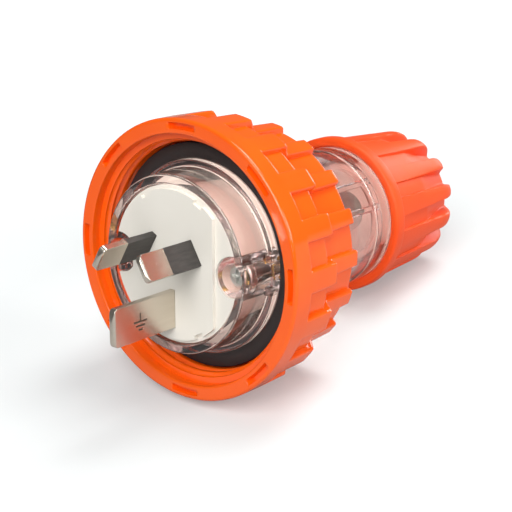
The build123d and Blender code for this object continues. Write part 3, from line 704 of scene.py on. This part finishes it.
# The other solids keep their shape. Each has a material, and a small round on its sharp edges in millimetres
softEdge = {"segments": 3, "sharpFrom": 40}
finishes = {
    "pin_carrier": (pbtMaterial, 0.12),
    "slip_washer": (washerMaterial, 0.2), "cord_grip": (washerMaterial, 0.2),
    "cable_grommet": (paleMaterial, 0.3), "nose_seal": (rubberMaterial, 0.0),
    "active_sleeve": (sleeveMaterial, 0.1), "neutral_sleeve": (sleeveMaterial, 0.1),
    "right_cover_screw": (zincMaterial, 0.08), "left_cover_screw": (zincMaterial, 0.08),
    "right_insert": (brassMaterial, 0.0), "left_insert": (brassMaterial, 0.0),
}
for pole in pins:
    finishes[pole + "_terminal"] = (brassMaterial, 0.2)
    finishes[pole + "_clamp_screw"] = (zincMaterial, 0.08)
for name, (material, soft) in finishes.items():
    node = frame["nodes"][name]
    node.data.materials.clear()
    node.data.materials.append(material)
    if soft:
        edges = node.modifiers.new("softEdges", "BEVEL")
        edges.width = soft * mm
        edges.segments = softEdge["segments"]
        edges.limit_method = "ANGLE"
        edges.angle_limit = math.radians(softEdge["sharpFrom"])
        edges.harden_normals = True
print("solids finished:", len(finishes))

# Floor: matte white paper that lifts to pure white away from the plug, and bounces less light than it shows.
# The shown colour is faintly cyan: a painted correction that greys the orange light bounced into the floor's
# shadows
paper = {"reach": 3.0, "bounced": "#B3B3B3", "shown": "#CDD1D1", "roughness": 0.9,
         "glowSpan": (0.09, 0.5), "glow": (0.22, 1.0)}
floorMesh = bpy.data.meshes.new("floor")
corners = [(sx * paper["reach"], sy * paper["reach"], 0) for sx, sy in ((-1, -1), (1, -1), (1, 1), (-1, 1))]
floorMesh.from_pydata(corners, [], [(0, 1, 2, 3)])
floor = bpy.data.objects.new("floor", floorMesh)
bpy.context.scene.collection.objects.link(floor)
floorMaterial = bpy.data.materials.new("whitePaperSweep")
floorMaterial.use_nodes = True
tree = floorMaterial.node_tree
shader = tree.nodes["Principled BSDF"]
shader.inputs["Roughness"].default_value = paper["roughness"]
shader.inputs["Specular IOR Level"].default_value = 0.0
shader.inputs["Emission Color"].default_value = toLinear("#FFFFFF")
path = addNode(tree, "ShaderNodeLightPath").outputs
seen = addNode(tree, "ShaderNodeMath", {"operation": "MAXIMUM"}, {},
               {0: path["Is Camera Ray"], 1: path["Is Transmission Ray"]}).outputs[0]
shades = {"A": toLinear(paper["bounced"]), "B": toLinear(paper["shown"])}
tint = addNode(tree, "ShaderNodeMix", {"data_type": "RGBA"}, shades, {"Factor": seen})
tree.links.new(tint.outputs["Result"], shader.inputs["Base Color"])
place = addNode(tree, "ShaderNodeTexCoord").outputs["Object"]
away = addNode(tree, "ShaderNodeVectorMath", {"operation": "LENGTH"}, {}, {0: place})
near, far = paper["glowSpan"]
low, high = paper["glow"]
span = {"From Min": near, "From Max": far, "To Min": low, "To Max": high}
glow = addNode(tree, "ShaderNodeMapRange", {}, span, {"Value": away.outputs["Value"]})
lift = addNode(tree, "ShaderNodeMath", {"operation": "MULTIPLY"}, {}, {0: seen, 1: glow.outputs["Result"]})
tree.links.new(lift.outputs[0], shader.inputs["Emission Strength"])
floorMesh.materials.append(floorMaterial)

# World: white where it is seen, a weak fill everywhere else
worldFill = {"fill": 0.15, "seen": 1.0}
world = bpy.data.worlds.new("studio")
bpy.context.scene.world = world
world.use_nodes = True
tree = world.node_tree
background = tree.nodes["Background"]
background.inputs["Color"].default_value = toLinear("#FFFFFF")
path = addNode(tree, "ShaderNodeLightPath").outputs
seen = addNode(tree, "ShaderNodeMath", {"operation": "MAXIMUM"}, {},
               {0: path["Is Camera Ray"], 1: path["Is Transmission Ray"]}).outputs[0]
span = {"To Min": worldFill["fill"], "To Max": worldFill["seen"]}
strength = addNode(tree, "ShaderNodeMapRange", {}, span, {"Value": seen})
tree.links.new(strength.outputs["Result"], background.inputs["Strength"])

# Soft boxes, in metres: a key over the camera, one above, one on the right, a strip and a low one behind
studio = {
    "keyBox": {"place": (0.3, -0.6, 0.7), "size": (0.6, 0.6), "watts": 6.6},
    "topBox": {"place": (0.2, 0.35, 0.9), "size": (0.4, 0.4), "watts": 5.0},
    "rightBox": {"place": (0.85, 0.22, 0.36), "size": (0.3, 0.3), "watts": 2.9},
    "stripBox": {"place": (0.53, -0.58, 0.48), "size": (0.1, 0.6), "watts": 2.0},
    "backBox": {"place": (0.05, 0.8, 0.14), "size": (0.3, 0.3), "watts": 1.6},
}
aim = Vector((0, 0, 0.03))
for name, box in studio.items():
    lamp = bpy.data.lights.new(name, "AREA")
    lamp.shape = "RECTANGLE"
    lamp.size, lamp.size_y = box["size"]
    lamp.energy = box["watts"]
    light = bpy.data.objects.new(name, lamp)
    light.location = box["place"]
    light.rotation_mode = "QUATERNION"
    light.rotation_quaternion = (aim - light.location).to_track_quat("-Z", "Y")
    bpy.context.scene.collection.objects.link(light)
print("studio lit:", len(studio), "boxes")

# Camera: place in millimetres and directions in the plug's axes, found from the pins and rims in the photo
view = {
    "place": (205.787, 86.664, 219.881), "right": (0.77222, 0.00123, -0.63535),
    "down": (0.17269, -0.96276, 0.20803), "back": (0.61144, 0.27036, 0.74367),
    "lens": 95.985, "sensor": 36.0, "nearest": 0.01,
}
camera = bpy.data.objects.new("camera", bpy.data.cameras.new("camera"))
bpy.context.scene.collection.objects.link(camera)
turn = Matrix((Vector(view["right"]), -Vector(view["down"]), Vector(view["back"]))).transposed().to_4x4()
turn.translation = Vector(view["place"]) * mm
camera.matrix_world = plugMatrix @ turn
camera.data.lens = view["lens"]
camera.data.sensor_width = view["sensor"]
camera.data.clip_start = view["nearest"]
bpy.context.scene.camera = camera
bpy.context.scene.view_settings.view_transform = "Standard"
